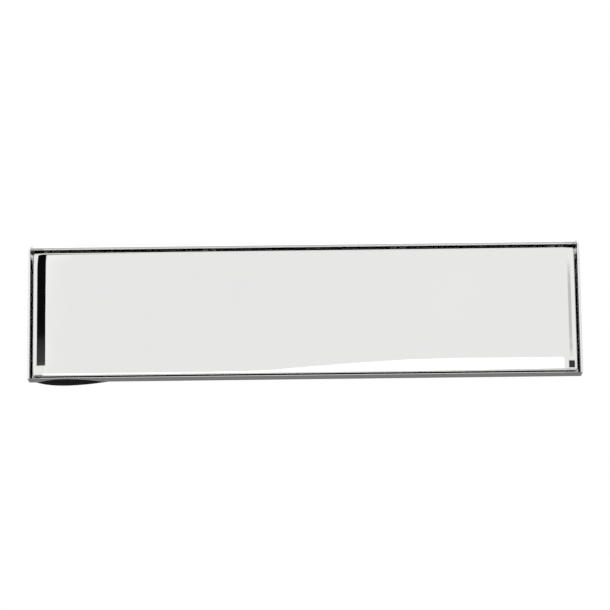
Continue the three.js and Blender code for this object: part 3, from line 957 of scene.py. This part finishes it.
class Sky:
    """Studio surroundings by direction. Azimuth 0 faces the plate and grows to its right; elevation 90 is overhead."""

    def __init__(self):
        self.world = bpy.data.worlds.new("studio")
        self.world.use_nodes = True
        self.tree = self.world.node_tree
        place = self.tree.nodes.new("ShaderNodeTexCoord")
        split = self.tree.nodes.new("ShaderNodeSeparateXYZ")
        self.tree.links.new(place.outputs["Generated"], split.inputs[0])
        x, y, z = split.outputs
        ahead = self.math("MULTIPLY", y, -1.0)
        self.azimuth = self.math("DEGREES", self.math("ARCTAN2", x, ahead))
        self.elevation = self.math("DEGREES", self.math("ARCSINE", z))
        self.pitch = self.math("DEGREES", self.math("ARCTAN2", z, ahead))
        self.level = None

    def math(self, operation, *values):
        node = self.tree.nodes.new("ShaderNodeMath")
        node.operation = operation
        for socket, value in zip(node.inputs, values):
            if isinstance(value, (int, float)):
                socket.default_value = value
            else:
                self.tree.links.new(value, socket)
        return node.outputs[0]

    def step(self, value, start, end, low_out=0.0, high_out=1.0):
        """Smooth change from low_out at start to high_out at end."""
        node = self.tree.nodes.new("ShaderNodeMapRange")
        node.interpolation_type = "SMOOTHSTEP"
        self.tree.links.new(value, node.inputs["Value"])
        for name, number in (("From Min", start), ("From Max", end), ("To Min", low_out), ("To Max", high_out)):
            node.inputs[name].default_value = number
        return node.outputs[0]

    def ramp(self, value, stops):
        """Level along a value in degrees, straight between the stops."""
        node = self.tree.nodes.new("ShaderNodeValToRGB")
        self.tree.links.new(self.step_linear(value, -180, 180), node.inputs[0])
        elements = node.color_ramp.elements
        for index, (angle, level) in enumerate(stops):
            spot = (angle + 180) / 360
            element = elements[index] if index < 2 else elements.new(spot)
            element.position = spot
            element.color = (level, level, level, 1)
        self.level = node.outputs[0]

    def step_linear(self, value, start, end):
        node = self.tree.nodes.new("ShaderNodeMapRange")
        self.tree.links.new(value, node.inputs["Value"])
        node.inputs["From Min"].default_value = start
        node.inputs["From Max"].default_value = end
        return node.outputs[0]

    def window(self, value, limits, soft):
        """1 between the two limits, falling to 0 over the soft width at each."""
        rise = self.step(value, limits[0] - soft, limits[0] + soft)
        fall = self.step(value, limits[1] - soft, limits[1] + soft, 1.0, 0.0)
        return self.math("MULTIPLY", rise, fall)

    def put(self, level, mask):
        """Lays a level over what is there already, as far as the mask says."""
        change = self.math("SUBTRACT", level, self.level)
        self.level = self.math("MULTIPLY_ADD", mask, change, self.level)

    def card(self, level, azimuths, elevations, soft=0.5, soft_up=0.5):
        across = self.window(self.azimuth, azimuths, soft)
        upright = self.window(self.elevation, elevations, soft_up)
        self.put(level, self.math("MULTIPLY", across, upright))

    def done(self):
        """Only reflections and light see the cards; behind the object the studio is plain white."""
        rays = self.tree.nodes.new("ShaderNodeLightPath")
        self.put(1.0, rays.outputs["Is Camera Ray"])
        background = self.tree.nodes["Background"]
        background.inputs["Color"].default_value = (1, 1, 1, 1)
        self.tree.links.new(self.level, background.inputs["Strength"])
        bpy.context.scene.world = self.world


# Brightness of the studio against pitch: 0 ahead of the plate, 90 overhead, 180 behind it, -90 underfoot.
PITCH_STOPS = ((-180, 0.215), (-167, 0.215), (-160, 0.06), (-125, 0.15), (-100, 0.4), (-60, 0.66), (-8, 1.035),
               (72, 1.035), (82, 0.01), (160, 0.01), (167, 0.215), (180, 0.215))


# Cards of the studio: azimuths or elevations in degrees, and brightness.
SIDE_WALLS = 1.06
GLOW = 1.12
FLAG_AZIMUTHS = (-19.3, -6.3)
FLAG_ELEVATIONS = (6, 60)
GREY_WALL = 0.5
LOW_CARD = 1.6
LOW_CARD_AZIMUTHS = (-12, 5.6)
STRIP = 0.66
SMALL_FLAG = 0.05


def add_side_walls(sky):
    turn = sky.math("ABSOLUTE", sky.azimuth)
    sides = sky.math("MULTIPLY", sky.step(turn, 10, 24), sky.step(turn, 163, 171, 1.0, 0.0))
    sky.put(SIDE_WALLS, sky.math("MULTIPLY", sides, sky.window(sky.elevation, (-30, 50), 8)))


def add_black_flag(sky):
    """Tall black flag on the left, a little paler towards its foot."""
    fade = sky.step(sky.elevation, 10.6, 11.65, 0.07, 0.004)
    across = sky.window(sky.azimuth, FLAG_AZIMUTHS, 0.35)
    sky.put(fade, sky.math("MULTIPLY", across, sky.window(sky.elevation, FLAG_ELEVATIONS, 0.8)))


def add_low_card(sky):
    """White card underneath, whose upper edge climbs towards the right."""
    edge = sky.step(sky.azimuth, -3.0, 3.0, -12.0, 9.8)
    under = sky.math("SUBTRACT", sky.elevation, edge)
    mask = sky.math("MULTIPLY", sky.step(under, -0.4, 0.4, 1.0, 0.0), sky.step(sky.elevation, -75, -50))
    sky.put(LOW_CARD, sky.math("MULTIPLY", mask, sky.window(sky.azimuth, LOW_CARD_AZIMUTHS, 0.5)))


def set_world():
    sky = Sky()
    sky.ramp(sky.pitch, PITCH_STOPS)
    add_side_walls(sky)
    sky.card(GLOW, (-7.5, -5.2), (-40, 40), 0.3)               # beside the black flag
    add_black_flag(sky)
    sky.card(GREY_WALL, (85, 105), (-60, 60), 4, 3)            # far right
    add_low_card(sky)
    sky.card(STRIP, (14.2, 18.6), (11.0, 12.6), 0.8, 0.3)      # dim, on the right
    sky.card(SMALL_FLAG, (12.5, 22.0), (-8, 5), 0.6, 1.0)      # low on the right
    sky.done()


def set_floor():
    reach = FLOOR_REACH
    corners = [(-reach, -reach, FLOOR_Z), (reach, -reach, FLOOR_Z), (reach, reach, FLOOR_Z), (-reach, reach, FLOOR_Z)]
    piece = make("floor", corners, [(0, 1, 2, 3)])
    m = Nodes("pale_floor")
    m.set(Roughness=0.8, Base_Color=(0.86, 0.86, 0.86, 1))
    piece.data.materials.append(m.material)
    piece.visible_glossy = False


def set_lamp():
    """Big soft lamp above and to the left; mirror surfaces don't show it."""
    data = bpy.data.lights.new("soft_lamp", "AREA")
    data.energy = LAMP_POWER
    data.shape = "RECTANGLE"
    data.size = 1.2
    data.size_y = 0.9
    lamp = bpy.data.objects.new("soft_lamp", data)
    bpy.context.scene.collection.objects.link(lamp)
    lamp.location = (-0.9, -0.6, 1.5)
    lamp.rotation_euler = Vector((0.9, 0.6, -1.5)).to_track_quat("-Z", "Y").to_euler()
    lamp.visible_glossy = False


set_camera()
set_world()
set_floor()
set_lamp()
scene = bpy.context.scene
scene.view_settings.view_transform = "Standard"
